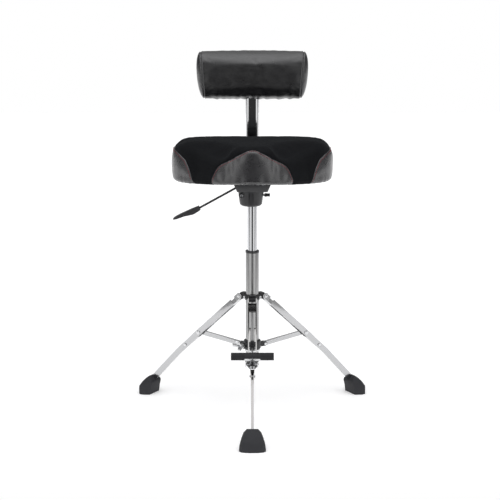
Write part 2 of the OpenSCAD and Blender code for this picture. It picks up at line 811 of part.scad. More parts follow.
module foot(a) {
    color([0.2, 0.2, 0.22]) difference() {
        at_azimuth(a) intersection() {
            translate([0, 60, 0]) rotate([90, 0, 0]) linear_extrude(120)
                polygon([for (p = foot_side) [foot_r - p[0], p[1]]]);
            translate([300, 0, 0]) rotate([90, 0, 90]) linear_extrude(120)
                polygon(concat([for (z = [0 : foot_h / 10 : foot_h]) [foot_half(z), z]],
                               [for (z = [foot_h : -foot_h / 10 : 0]) [-foot_half(z), z]]));
            linear_extrude(foot_h + 1)
                polygon(concat([for (p = foot_sole) [foot_r - p[0], p[1] * foot_w / 2]],
                               [for (i = [len(foot_sole) - 1 : -1 : 0])
                                   [foot_r - foot_sole[i][0], -foot_sole[i][1] * foot_w / 2]]));
        }
        on_leg(a) translate([bend_x, 0, 0]) rotate([0, leg_bend, 0])
            translate([60, -lower_leg_w / 2, web_z])
                cube([lower_leg_l - 60, lower_leg_w, flange_z - web_z]);
    }
}

// ---------------------------------------------------------------- footrest

module footrest_bolt() {
    color("silver") on_leg(front) translate([footrest_bolt_x, 0, 0]) {
        ring(4, 0, web_z - 6, bracket_z + bracket_t + gap + eps);
        ring(4.4, 0, web_z + leg_sheet, bracket_z - gap);
        ring(6.5, 0, bracket_z + bracket_t + gap, bracket_z + bracket_t + gap + 3);
        translate([0, 0, web_z - 5]) cylinder(r = 6.5, h = 5, $fn = 6);
    }
}

module footrest_bracket() {
    saddle_r = footrest_d / 2;
    color("silver") on_leg(front) difference() {
        union() {
            // Foot plate that narrows towards the foot, with the pivot boss
            translate([0, 0, bracket_z]) linear_extrude(bracket_t) {
                polygon([[riser_x, -18.5], [227, -18.5], [242, -8], [245, 0], [242, 8],
                         [227, 18.5], [riser_x, 18.5]]);
                translate([footrest_bolt_x, 0]) circle(r = 8);
            }
            // Riser wall and the half-round saddle for the bar
            translate([riser_x, -18.5, bracket_z]) cube([bracket_t, 37, 24]);
            for (s = [-1, 1]) translate([riser_x, s * 17 - 1.5, bracket_z])
                rotate([90, 0, 0]) translate([0, 0, -1.5]) linear_extrude(3)
                    polygon([[0, 0], [14, 0], [11, 26], [0, 26]]);
            translate([footrest_x, 0, footrest_z]) bar_y(saddle_r + 2, -22, 22);
        }
        translate([footrest_x, 0, footrest_z]) {
            bar_y(saddle_r + 0.1, -30, 30);
            // The saddle is open on the side away from the leg and uphill
            rotate([0, -40, 0]) translate([-40, -30, -3]) cube([80, 60, 40]);
            rotate([0, -90, 0]) translate([-40, -30, 6]) cube([80, 60, 40]);
        }
        translate([footrest_bolt_x, 0, 0]) cylinder(r = 4 + running, h = 40);
    }
}

module footrest_bar() {
    color("silver") on_leg(front) translate([footrest_x, 0, footrest_z])
        bar_y(bar_r, -footrest_l / 2 + 3, footrest_l / 2 - 3);
}

module footrest_sleeve() {
    grooves = 16;
    r = footrest_d / 2;
    color([0.17, 0.17, 0.18]) on_leg(front) translate([footrest_x, 0, footrest_z]) difference() {
        bar_y(r, -footrest_l / 2, footrest_l / 2);
        bar_y(bar_r, -footrest_l / 2 + 3, footrest_l / 2 - 3);
        // Lengthwise grooves, outside the stretch held by the saddle
        for (i = [0 : grooves - 1], s = [-1, 1]) rotate([0, 360 * (i + 0.5) / grooves, 0])
            translate([r + 0.3, s * (footrest_l / 2 - 18), 0]) bar_y(1.1, -17, 19);
    }
}

// ---------------------------------------------------------------- build

column_tube();
column_bushing();
upper_collar();
collar_screws();
leg_pivot_pins();
stop_ring();
base_plug();
thrust_bearing();
piston_rod();
rod_clip();
gas_cylinder();
mechanism_housing();
mounting_plate();
mounting_bolts();
housing_bolt();
lever_pivot_pin();
seat_board();
seat_tee_nuts();
seat_cushion();
backrest_receiver();
release_pin();
lever_rod();
lever_handle();
tension_knob();
backrest_post();
post_cap();
depth_knob();
height_carrier();
tilt_pin();
height_knob();
backrest_bracket();
backrest_board();
backrest_screws();
backrest_pad();
lower_collar();
brace_pivot_pins();
wing_bolt();
brace(front);  // brace_front
brace(rear_left);  // brace_rear_left
brace(rear_right);  // brace_rear_right
brace_bush(front);  // brace_bush_front
brace_bush(rear_left);  // brace_bush_rear_left
brace_bush(rear_right);  // brace_bush_rear_right
leg(front);  // leg_front
leg(rear_left);  // leg_rear_left
leg(rear_right);  // leg_rear_right
leg_rivets(front);  // leg_rivets_front
leg_rivets(rear_left);  // leg_rivets_rear_left
leg_rivets(rear_right);  // leg_rivets_rear_right
foot(front);  // foot_front
foot(rear_left);  // foot_rear_left
foot(rear_right);  // foot_rear_right
footrest_bolt();
footrest_bracket();
footrest_bar();
footrest_sleeve();
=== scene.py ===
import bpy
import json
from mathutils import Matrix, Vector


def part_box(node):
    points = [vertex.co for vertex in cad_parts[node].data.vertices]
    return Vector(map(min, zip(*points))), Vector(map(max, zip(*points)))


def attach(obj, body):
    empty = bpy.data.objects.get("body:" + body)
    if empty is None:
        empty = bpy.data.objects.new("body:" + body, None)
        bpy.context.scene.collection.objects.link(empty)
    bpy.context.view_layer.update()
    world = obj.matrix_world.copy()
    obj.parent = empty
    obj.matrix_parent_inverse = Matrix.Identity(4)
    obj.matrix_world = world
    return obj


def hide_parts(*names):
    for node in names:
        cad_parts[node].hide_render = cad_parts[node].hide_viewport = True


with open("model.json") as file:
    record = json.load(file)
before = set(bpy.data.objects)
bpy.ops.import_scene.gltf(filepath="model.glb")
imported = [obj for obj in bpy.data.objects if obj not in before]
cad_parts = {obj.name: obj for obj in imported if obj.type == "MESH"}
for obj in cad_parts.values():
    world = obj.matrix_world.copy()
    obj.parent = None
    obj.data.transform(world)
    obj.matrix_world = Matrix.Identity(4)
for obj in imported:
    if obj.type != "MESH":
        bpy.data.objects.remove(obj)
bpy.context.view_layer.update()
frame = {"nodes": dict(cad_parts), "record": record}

import json
import math
import random

import bmesh
import bpy
import numpy as np
from mathutils import Vector
from mathutils.bvhtree import BVHTree

random.seed(7)
MM = 0.001
CLOTH_FRAMES = 20

low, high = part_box("column_tube")
AXIS_Y = (low.y + high.y) / 2
SEAT_LOW, SEAT_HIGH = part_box("seat_cushion")
PAD_LOW, PAD_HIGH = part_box("backrest_pad")
SEAT_BOTTOM = SEAT_LOW.z / MM
SEAT_TOP = SEAT_HIGH.z / MM


# ------------------------------------------------------------------ mesh helpers

def row_frame(points):
    """Millimetres about the column axis, to metres in the row frame."""
    out = np.asarray(points, float) * MM
    out[..., 1] += AXIS_Y
    return out


def new_object(name, verts, faces, material, smooth=True):
    mesh = bpy.data.meshes.new(name)
    mesh.from_pydata([tuple(v) for v in np.asarray(verts).reshape(-1, 3)], [], faces)
    mesh.validate()
    if smooth:
        mesh.polygons.foreach_set("use_smooth", [True] * len(mesh.polygons))
    mesh.materials.append(material)
    obj = bpy.data.objects.new(name, mesh)
    bpy.context.scene.collection.objects.link(obj)
    return obj


def fix_normals(obj):
    bm = bmesh.new()
    bm.from_mesh(obj.data)
    bmesh.ops.recalc_face_normals(bm, faces=bm.faces)
    bm.to_mesh(obj.data)
    bm.free()


def grid_faces(rows, cols, wrap, start=0):
    """Quads of a grid stored row by row; wrap joins the last column to the first."""
    faces = []
    for i in range(rows - 1):
        for j in range(cols if wrap else cols - 1):
            k = (j + 1) % cols
            faces.append((start + i * cols + j, start + i * cols + k,
                          start + (i + 1) * cols + k, start + (i + 1) * cols + j))
    return faces


def closed_grid(grid):
    """Vertices and faces of a closed form: a grid of rings with a point at each end."""
    rows, cols = grid.shape[:2]
    verts = np.vstack([grid.reshape(-1, 3), grid[0].mean(0), grid[-1].mean(0)])
    faces = grid_faces(rows, cols, True)
    first, last = rows * cols, rows * cols + 1
    for j in range(cols):
        k = (j + 1) % cols
        faces.append((first, k, j))
        faces.append((last, (rows - 1) * cols + j, (rows - 1) * cols + k))
    return verts, faces


def grid_normals(grid):
    """Unit normals of a grid, closed along its columns."""
    du = np.roll(grid, -1, 1) - np.roll(grid, 1, 1)
    dv = np.gradient(grid, axis=0)
    n = np.cross(du, dv)
    return n / np.maximum(np.linalg.norm(n, axis=2, keepdims=True), 1e-9)


def sample(grid, rows, cols):
    """Bilinear reading of a grid, closed along its columns, at fractional rows and columns."""
    rows = np.clip(np.asarray(rows, float), 0, grid.shape[0] - 1.001)
    cols = np.asarray(cols, float) % grid.shape[1]
    i, j = np.floor(rows).astype(int), np.floor(cols).astype(int)
    a, b = (rows - i)[..., None], (cols - j)[..., None]
    k = (j + 1) % grid.shape[1]
    return ((grid[i, j] * (1 - b) + grid[i, k] * b) * (1 - a)
            + (grid[i + 1, j] * (1 - b) + grid[i + 1, k] * b) * a)


def blur(field, times):
    for _ in range(times):
        side = (np.roll(field, 1, 1) + np.roll(field, -1, 1)) / 2
        up = np.vstack([field[:1], field[:-1]])
        down = np.vstack([field[1:], field[-1:]])
        field = 0.4 * field + 0.3 * side + 0.15 * (up + down)
    return field


def catmull(points, steps):
    """A smooth closed curve through the points."""
    pts = np.asarray(points, float)
    n = len(pts)
    out = []
    for i in range(n):
        a, b, c, d = pts[i - 1], pts[i], pts[(i + 1) % n], pts[(i + 2) % n]
        for k in range(steps):
            t = k / steps
            out.append((2 * b + (c - a) * t + (2 * a - 5 * b + 4 * c - d) * t * t
                        + (3 * b - a - 3 * c + d) * t ** 3) / 2)
    return np.array(out)


def even_ring(curve, count):
    """A closed plane curve at count places spaced evenly along it."""
    ring = np.vstack([curve, curve[:1]])
    run = np.concatenate([[0], np.cumsum(np.linalg.norm(np.diff(ring, axis=0), axis=1))])
    at = np.arange(count) / count * run[-1]
    return np.stack([np.interp(at, run, ring[:, a]) for a in range(ring.shape[1])], 1), run[-1]


def nearest_distance(points, curve):
    flat = points.reshape(-1, 3)
    out = np.empty(len(flat))
    for start in range(0, len(flat), 4000):
        part = flat[start:start + 4000]
        out[start:start + 4000] = np.sqrt(
            ((part[:, None, :] - curve[None, :, :]) ** 2).sum(2).min(1))
    return out.reshape(points.shape[:-1])


def wave_noise(s, seed, low_f, high_f, count=9):
    """A smooth periodic random function of s in 0..1, about -1 to 1."""
    gen = np.random.default_rng(seed)
    out = np.zeros_like(s)
    for _ in range(count):
        out += np.sin(2 * np.pi * (gen.integers(low_f, high_f) * s + gen.random()))
    return out / math.sqrt(count)


def simulate(name, verts, faces, voxel, pressure, cap, pinned):
    """Blows a closed form up as stuffed cloth and returns it as a search tree, in metres."""
    obj = new_object(name, verts, faces, bpy.data.materials["scratch"])
    fix_normals(obj)
    remesh = obj.modifiers.new("remesh", "REMESH")
    remesh.mode = "VOXEL"
    remesh.voxel_size = voxel
    bpy.context.view_layer.objects.active = obj
    for other in bpy.context.selected_objects:
        other.select_set(False)
    obj.select_set(True)
    bpy.ops.object.modifier_apply(modifier=remesh.name)
    rest = np.array([v.co for v in obj.data.vertices])
    group = obj.vertex_groups.new(name="pin")
    for v in obj.data.vertices:
        w = pinned(v.co)
        if w > 0:
            group.add([v.index], w, "REPLACE")
    cloth = obj.modifiers.new("cloth", "CLOTH")
    s = cloth.settings
    s.quality = 5
    s.mass = 0.3
    s.tension_stiffness = 15
    s.compression_stiffness = 15
    s.bending_stiffness = 0.5
    s.use_pressure = True
    s.uniform_pressure_force = pressure
    s.effector_weights.gravity = 0
    s.vertex_group_mass = "pin"
    cloth.collision_settings.use_collision = False
    cloth.point_cache.frame_start = 1
    cloth.point_cache.frame_end = CLOTH_FRAMES
    scene = bpy.context.scene
    for frame_number in range(1, CLOTH_FRAMES + 1):
        scene.frame_set(frame_number)
    bpy.ops.object.modifier_apply(modifier=cloth.name)
    scene.frame_set(1)
    moved = np.array([v.co for v in obj.data.vertices]) - rest
    length = np.linalg.norm(moved, axis=1, keepdims=True)
    moved *= np.minimum(1, cap / np.maximum(length, 1e-9))
    print(name, "moved up to", round(float(length.max() / MM), 1), "mm, mean",
          round(float(length.mean() / MM), 2))
    for v, co in zip(obj.data.vertices, rest + moved):
        v.co = co
    sub = obj.modifiers.new("subdivision", "SUBSURF")
    sub.levels = 1
    bpy.ops.object.modifier_apply(modifier=sub.name)
    tree = BVHTree.FromPolygons([v.co.copy() for v in obj.data.vertices],
                                [tuple(p.vertices) for p in obj.data.polygons])
    mesh = obj.data
    bpy.data.objects.remove(obj)
    bpy.data.meshes.remove(mesh)
    return tree


def drape(grid, tree, smoothing):
    """Moves a grid, in millimetres, onto the simulated form."""
    world = row_frame(grid)
    out = world.copy()
    flat, moved = world.reshape(-1, 3), out.reshape(-1, 3)
    for i, p in enumerate(flat):
        hit = tree.find_nearest(Vector(p))[0]
        if hit is not None:
            moved[i] = hit
    shift = blur((out - world) / MM, smoothing)
    return grid + shift


# ------------------------------------------------------------------ materials

def material(name, color, rough, metallic=0.0):
    m = bpy.data.materials.new(name)
    m.use_nodes = True
    b = m.node_tree.nodes["Principled BSDF"]
    b.inputs["Base Color"].default_value = (*color, 1)
    b.inputs["Roughness"].default_value = rough
    b.inputs["Metallic"].default_value = metallic
    return m, m.node_tree, b


def node(tree, kind, **inputs):
    n = tree.nodes.new(kind)
    for key, value in inputs.items():
        if key in n.inputs:
            n.inputs[key].default_value = value
        else:
            setattr(n, key, value)
    return n


def noise(tree, scale, detail=3.0, rough=0.5, vector=None):
    n = node(tree, "ShaderNodeTexNoise", Scale=scale, Detail=detail, Roughness=rough)
    if vector is None:
        vector = coords(tree)
    tree.links.new(vector, n.inputs["Vector"])
    return n.outputs["Fac"]


def coords(tree):
    for n in tree.nodes:
        if n.bl_idname == "ShaderNodeTexCoord":
            return n.outputs["Object"]
    return tree.nodes.new("ShaderNodeTexCoord").outputs["Object"]


def remap(tree, value, a, b, c, d):
    n = tree.nodes.new("ShaderNodeMapRange")
    for key, v in zip(("From Min", "From Max", "To Min", "To Max"), (a, b, c, d)):
        n.inputs[key].default_value = v
    tree.links.new(value, n.inputs["Value"])
    return n.outputs["Result"]


def mix_color(tree, factor, first, second):
    n = tree.nodes.new("ShaderNodeMix")
    n.data_type = "RGBA"
    n.inputs["A"].default_value = (*first, 1)
    n.inputs["B"].default_value = (*second, 1)
    tree.links.new(factor, n.inputs["Factor"])
    return n.outputs["Result"]


def math_node(tree, operation, first, second):
    n = node(tree, "ShaderNodeMath", operation=operation)
    for i, v in enumerate((first, second)):
        if isinstance(v, (int, float)):
            n.inputs[i].default_value = v
        else:
            tree.links.new(v, n.inputs[i])
    return n.outputs[0]


def bump(tree, shader, height, strength, distance):
    n = node(tree, "ShaderNodeBump", Strength=strength, Distance=distance)
    tree.links.new(height, n.inputs["Height"])
    tree.links.new(n.outputs["Normal"], shader.inputs["Normal"])


bpy.data.materials.new("scratch")


def chrome_material(name, color, rough_low, rough_high):
    m, t, b = material(name, color, rough_low, 1.0)
    stain = noise(t, 14, 4)
    t.links.new(remap(t, stain, 0.35, 0.75, rough_low, rough_high), b.inputs["Roughness"])
    t.links.new(mix_color(t, noise(t, 5, 2), color, tuple(c * 0.94 for c in color)),
                b.inputs["Base Color"])
    bump(t, b, noise(t, 30, 2), 0.04, 0.0006)
    return m


def paint_material(name, color, rough, grain, depth):
    m, t, b = material(name, color, rough)
    t.links.new(mix_color(t, noise(t, 40, 4), color, tuple(c * 1.7 + 0.004 for c in color)),
                b.inputs["Base Color"])
    t.links.new(remap(t, noise(t, 90, 3), 0.3, 0.7, rough - 0.06, rough + 0.08),
                b.inputs["Roughness"])
    bump(t, b, noise(t, grain, 2), 0.35, depth)
    return m


def leather_material(name, color, rough, coat, crease=0.9):
    """Vinyl leather: pebbled cells, fine pores and slow colour drift."""
    m, t, b = material(name, color, rough)
    cells = node(t, "ShaderNodeTexVoronoi", Scale=620.0, feature="DISTANCE_TO_EDGE")
    t.links.new(coords(t), cells.inputs["Vector"])
    pebble = remap(t, cells.outputs["Distance"], 0.0, 0.22, 0.0, 1.0)
    pores = noise(t, 1500, 2)
    creases = noise(t, 60, 5, 0.6)
    height = math_node(t, "ADD", math_node(t, "MULTIPLY", pebble, 0.6),
                       math_node(t, "ADD", math_node(t, "MULTIPLY", pores, 0.25),
                                 math_node(t, "MULTIPLY", creases, crease)))
    bump(t, b, height, 0.15, 0.0005)
    drift = math_node(t, "ADD", math_node(t, "MULTIPLY", noise(t, 9, 3), 0.6),
                      math_node(t, "MULTIPLY", pebble, 0.4))
    t.links.new(mix_color(t, drift, tuple(c * 0.72 for c in color),
                          tuple(min(1, c * 1.22) for c in color)), b.inputs["Base Color"])
    t.links.new(remap(t, creases, 0.3, 0.7, rough - 0.05, rough + 0.07), b.inputs["Roughness"])
    b.inputs["Coat Weight"].default_value = coat
    b.inputs["Coat Roughness"].default_value = 0.22
    b.inputs["Specular IOR Level"].default_value = 1.0
    return m


def velvet_material(name, color):
    """Short-pile velour: brushed nap, soft mottling and edge sheen."""
    m, t, b = material(name, color, 0.95)
    nap = noise(t, 45, 5, 0.6)
    pile = noise(t, 1900, 2)
    drift = math_node(t, "ADD", math_node(t, "MULTIPLY", nap, 0.7),
                      math_node(t, "MULTIPLY", pile, 0.5))
    t.links.new(mix_color(t, drift, tuple(c * 0.6 for c in color),
                          tuple(c * 1.5 for c in color)), b.inputs["Base Color"])
    bump(t, b, math_node(t, "ADD", pile, math_node(t, "MULTIPLY", nap, 0.5)), 0.5, 0.0006)
    b.inputs["Sheen Weight"].default_value = 0.04
    b.inputs["Sheen Roughness"].default_value = 0.45
    b.inputs["Sheen Tint"].default_value = (0.35, 0.4, 0.45, 1)
    b.inputs["Specular IOR Level"].default_value = 0.12
    return m


def rubber_material(name, color):
    m, t, b = material(name, color, 0.62)
    t.links.new(mix_color(t, noise(t, 25, 5), tuple(c * 0.8 for c in color),
                          tuple(c * 1.3 for c in color)), b.inputs["Base Color"])
    bump(t, b, noise(t, 900, 2), 0.4, 0.0004)
    b.inputs["Specular IOR Level"].default_value = 0.35
    return m


def thread_material(name, color):
    m, t, b = material(name, color, 0.7)
    twist = node(t, "ShaderNodeTexWave", Scale=900.0, Distortion=1.0)
    t.links.new(coords(t), twist.inputs["Vector"])
    t.links.new(mix_color(t, twist.outputs["Fac"], tuple(c * 0.6 for c in color), color),
                b.inputs["Base Color"])
    bump(t, b, twist.outputs["Fac"], 0.5, 0.0003)
    return m


def wood_material(name):
    m, t, b = material(name, (0.5, 0.34, 0.18), 0.7)
    place = node(t, "ShaderNodeMapping", Scale=(3.0, 1.0, 60.0))
    t.links.new(coords(t), place.inputs["Vector"])
    plies = noise(t, 12, 3, 0.5, place.outputs["Vector"])
    t.links.new(mix_color(t, plies, (0.32, 0.2, 0.1), (0.62, 0.45, 0.27)), b.inputs["Base Color"])
    bump(t, b, plies, 0.3, 0.0004)
    return m


CHROME = chrome_material("chrome_bright", (0.7, 0.705, 0.715), 0.08, 0.16)
CHROME_GAS = chrome_material("chrome_gas", (0.6, 0.605, 0.62), 0.13, 0.2)
CHROME_TUBE = chrome_material("chrome_tube", (0.4, 0.4, 0.4), 0.3, 0.38)
CHROME_LEG = chrome_material("chrome_leg", (0.55, 0.553, 0.56), 0.12, 0.2)
# Painted shade: the front leg gets a darker copy of the rear legs' chrome, although it is the same
# finish.
CHROME_FRONT_SHADED = chrome_material("chrome_leg_front_painted_shade", (0.36, 0.355, 0.35), 0.12, 0.2)
STEEL = chrome_material("steel_brushed", (0.55, 0.56, 0.58), 0.25, 0.38)
CASTING = paint_material("casting_black", (0.008, 0.008, 0.0095), 0.34, 500, 0.0003)
PLASTIC = paint_material("plastic_black", (0.022, 0.022, 0.024), 0.42, 700, 0.0002)
FOOT = rubber_material("rubber_foot", (0.022, 0.0225, 0.026))
SLEEVE = rubber_material("rubber_sleeve", (0.018, 0.018, 0.02))
PANEL = leather_material("leather_grey", (0.0175, 0.017, 0.0195), 0.28, 0.2, 0.4)
BLACK = leather_material("leather_black", (0.008, 0.008, 0.0092), 0.32, 0.15)
VELVET = velvet_material("velvet_black", (0.0062, 0.0066, 0.0076))
THREAD = thread_material("thread_red", (0.3, 0.02, 0.035))
GREY_THREAD = thread_material("thread_grey", (0.14, 0.14, 0.15))
LINING = paint_material("lining_black", (0.012, 0.012, 0.013), 0.9, 1400, 0.0004)
WOOD = wood_material("plywood")

SLOT_MATERIALS = {"chrome": CHROME, "black_casting": CASTING, "black_plastic": PLASTIC,
                  "steel": STEEL, "foot_rubber": FOOT, "bar_rubber": SLEEVE,
                  "plywood": WOOD, "seat_foam": LINING, "pad_foam": LINING}
NODE_MATERIALS = {"gas_cylinder": CHROME_GAS, "column_tube": CHROME_TUBE,
                  "leg_front": CHROME_FRONT_SHADED, "backrest_board": LINING}
for side in ("rear_left", "rear_right"):
    NODE_MATERIALS.update({"leg_" + side: CHROME_LEG, "brace_" + side: CHROME_LEG})
SLOT_OF = {row["node"]: row["material_slot"] for row in frame["record"]["subparts"]}
BEVEL = {"foot": 4.5, "leg": 0.7, "mechanism_housing": 1.0, "lever_handle": 1.8,
         "upper_collar": 0.8, "lower_collar": 0.8, "wing_bolt": 0.7, "backrest_post": 0.0}
for name, obj in frame["nodes"].items():
    obj.data.materials.clear()
    obj.data.materials.append(NODE_MATERIALS.get(name) or SLOT_MATERIALS[SLOT_OF[name]])
    obj.data.polygons.foreach_set("use_smooth", [True] * len(obj.data.polygons))
    stem = next((k for k in BEVEL if name.startswith(k) and "rivets" not in name), None)
    width = BEVEL[stem] if stem else 0.3
    if width > 0:
        weld = obj.modifiers.new("weld", "WELD")
        weld.merge_threshold = 1e-6
        edge = obj.modifiers.new("edge", "BEVEL")
        edge.width = width * MM
        edge.segments = 3
        edge.limit_method = "ANGLE"
        edge.angle_limit = math.radians(35)
    split = obj.modifiers.new("split", "EDGE_SPLIT")
    split.split_angle = math.radians(40)


# ------------------------------------------------------------------ seat

SEAT_HALF = [(0, -165), (28, -162.5), (62, -155), (100, -141), (130, -110), (160, -74), (198, -46),
             (225, -8), (233.5, 38), (229, 92), (198, 134), (130, 152), (60, 155)]
seat_loop = SEAT_HALF + [(0, 156)] + [(-x, y) for x, y in SEAT_HALF[:0:-1]]
RING = 480
outline, seat_round = even_ring(catmull(seat_loop, 24), RING)
tangent = np.roll(outline, -1, 0) - np.roll(outline, 1, 0)
tangent /= np.linalg.norm(tangent, axis=1, keepdims=True)
outward = np.stack([tangent[:, 1], -tangent[:, 0]], 1)

THIGH_R, THIGH_SLOPE, THIGH_X, THIGH_Y = 120.0, math.radians(32), 160.0, -20.0
RIM = 7.0
NOSE = np.exp(-(outline[:, 0] / 80) ** 2) * (outline[:, 1] < 0)
EDGE_IN = (30 - 17 * NOSE)[:, None]        # the upper edge is tighter over the nose
EDGE_DROP = 23 - 10 * NOSE


def seat_top_at(x, y):
    crown = SEAT_TOP - 3.0 * ((x / 235) ** 2 + ((y - 10) / 170) ** 2)
    out = crown
    for side in (-1, 1):
        across = np.clip(np.abs(x - side * THIGH_X) / THIGH_R, 0, 0.999)
        hollow = (SEAT_TOP + THIGH_R / math.cos(THIGH_SLOPE) + (y - THIGH_Y) * math.tan(THIGH_SLOPE)
                  - THIGH_R * np.sqrt(1 - across ** 2) / math.cos(THIGH_SLOPE))
        blend = 18.0
        h = np.clip(0.5 + 0.5 * (hollow - out) / blend, 0, 1)
        out = hollow * (1 - h) + out * h - blend * h * (1 - h)
    return out


def seat_base_at(y):
    return SEAT_BOTTOM + np.maximum(0, -70 - y) * math.tan(math.radians(8.4))


UNDER_SHARES = (0.05, 0.25, 0.5, 0.75)              # rings inside the underside
UNDER_INSETS = (46, 38, 32, 27, 23, 20, 17, 14.5)    # rings along its edge, outward
RIM_RINGS, WALL_RINGS, EDGE_RINGS, TOP_RINGS = 6, 16, 13, 33
ROW_RIM = len(UNDER_SHARES) + len(UNDER_INSETS)      # first ring of the rounded lower rim
ROW_EDGE = ROW_RIM + RIM_RINGS + WALL_RINGS + EDGE_RINGS - 1   # last of the upper edge


def seat_form(shrink):
    """Rings of the cushion from the middle of the underside, up the side, to the top's middle."""
    rings = []

    def ring(inset, z=None):
        xy = outline - outward * (inset + shrink)
        zz = seat_base_at(xy[:, 1]) if z is None else z
        return np.column_stack([xy, zz])

    inner = ring(UNDER_INSETS[0])
    for k in UNDER_SHARES:
        xy = inner[:, :2] * k
        rings.append(np.column_stack([xy, seat_base_at(xy[:, 1])]))
    for inset in UNDER_INSETS:
        rings.append(ring(inset))
    base = seat_base_at(outline[:, 1])
    for a in np.radians([0, 18, 36, 54, 72, 90]):
        rings.append(ring(RIM * (1 - math.sin(a)), base + RIM * (1 - math.cos(a))))
    inside = outline - outward * (EDGE_IN + shrink)
    top = seat_top_at(inside[:, 0], inside[:, 1]) - shrink
    edge = np.maximum(top - EDGE_DROP, base + RIM + 8)
    for i in range(1, WALL_RINGS + 1):
        w = i / WALL_RINGS
        rings.append(ring(-1.6 * math.sin(math.pi * w), base + RIM + (edge - base - RIM) * w))
    for b in np.radians(np.linspace(0, 90, EDGE_RINGS + 1)[1:]):
        rings.append(ring(EDGE_IN * (1 - math.cos(b)), edge + (top - edge) * math.sin(b)))
    for k in np.linspace(1, 0.02, TOP_RINGS + 1)[1:]:
        xy = inside * k
        rings.append(np.column_stack([xy, seat_top_at(xy[:, 0], xy[:, 1]) - shrink]))
    return np.array(rings)


SEAT_SHRINK, PAD_SHRINK = 2.5, 1.2     # the forms start smaller, because the cloth swells
verts, faces = closed_grid(row_frame(seat_form(SEAT_SHRINK)))
pin_z = (SEAT_BOTTOM + 3) * MM


def seat_pin(co):
    """The underside, which the board holds, doesn't move."""
    lifted = co.y < AXIS_Y - 0.07 and co.z * 1000 < seat_base_at(1000 * (co.y - AXIS_Y)) + 3
    return 1.0 if co.z < pin_z or lifted else 0.0


seat_tree = simulate("seat_sim", verts, faces, 0.0055, 4.0, 0.006, seat_pin)
grid = drape(seat_form(0.0), seat_tree, 3)
flat_rows = ROW_RIM + 1
grid[:flat_rows] = seat_form(0.0)[:flat_rows]

# Gathers where the cover is pulled round the board, and a slight unevenness of the foam
turn = np.arange(RING) / RING
gather = wave_noise(turn, 11, 30, 84, 12) * np.clip(0.5 + wave_noise(turn, 12, 3, 12), 0, 1.2)
gather *= 1 - 0.92 * np.exp(-(outline[:, 0] / 118) ** 4) * (outline[:, 1] < 0)
normals = grid_normals(grid)
for r in range(ROW_RIM - 4, ROW_RIM + 14):
    fall = math.exp(-((r - ROW_RIM - 2) / 4.5) ** 2)
    grid[r] += normals[r] * (gather * 0.6 * fall)[:, None]
grid[:, :, 2] = np.maximum(grid[:, :, 2], SEAT_BOTTOM - 1.2)
soft = np.array([[0.45 * math.sin(0.045 * p[0] + 1.3) * math.sin(0.05 * p[1] + 0.4)
                  for p in ring] for ring in grid])
grid += normals * soft[..., None]

# Seam heights: the nose panel by x, the side panels by distance from their front end
NOSE_END = 118             # x of the nose panel's ends
NOSE_SEAM = [(0, 797), (12, 796), (24, 791.5), (36, 785.5), (50, 778), (65, 769.5), (91, 757),
             (103, 747), (111, 733), (116, 712), (NOSE_END, 689)]
SIDE_SEAM = [(0, 689), (3, 702), (7, 714), (13, 729), (32, 756), (62, 770), (92, 777),
             (140, 779), (1000, 779)]
run_mm = seat_round / RING


def seam_rows(cols, heights):
    """Fractional rows at which the surface passes these heights, for fractional columns."""
    rows = np.arange(ROW_RIM - 1, ROW_EDGE + 8)
    out = []
    for c, z in zip(cols, heights):
        column = sample(grid, rows, np.full(len(rows), c))[:, 2]
        column = np.maximum.accumulate(column)
        out.append(np.interp(z, column, rows))
    return np.array(out)


def column_at(x_mm, y_mm):
    return int(np.argmin(np.hypot(outline[:, 0] - x_mm, outline[:, 1] - y_mm)))


nose_end = 0.0
while outline[int(nose_end) % RING, 0] < NOSE_END:
    nose_end += 1
nose_cols = np.linspace(-nose_end, nose_end, 170)
nose_x = np.abs(sample(np.dstack([outline[None], np.zeros((1, RING, 1))]).repeat(2, 0),
                       np.zeros(170), nose_cols)[:, 0])
nose_z = np.interp(nose_x, *zip(*NOSE_SEAM))
side_start = column_at(167, -68)
side_cols = np.linspace(side_start, RING / 2, 330)
side_z = np.interp((side_cols - side_start) * run_mm, *zip(*SIDE_SEAM))


def soften(values, times):
    for _ in range(times):
        values = np.concatenate([values[:1], (values[:-2] + 2 * values[1:-1] + values[2:]) / 4,
                                 values[-1:]])
    return values


PANELS = {"front": (nose_cols, soften(nose_z, 12)),
          "right": (side_cols, soften(side_z, 12)),
          "left": (RING - side_cols[::-1], soften(side_z, 12)[::-1])}
seams, panel_rows = {}, {}
for name, (cols, heights) in PANELS.items():
    panel_rows[name] = seam_rows(cols, heights)
    seams[name] = sample(grid, panel_rows[name], cols)
all_seams = np.vstack(list(seams.values()))

cover = grid.copy()
seam_gap = nearest_distance(cover, all_seams)
cover -= normals * (1.3 * np.exp(-(seam_gap / 3.2) ** 2))[..., None]
cover[6:flat_rows, :, 2] -= 0.6        # round the dust cover it lies below the board's face
verts, faces = closed_grid(row_frame(cover))
seat_cover = new_object("seat_cover", verts, faces, VELVET)
fix_normals(seat_cover)
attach(seat_cover, "seat")
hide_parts("seat_cushion")

normals = grid_normals(grid)
back_seam = sample(grid, np.linspace(ROW_RIM - 2, panel_rows["right"][-1], 60),
                   np.full(60, RING / 2))


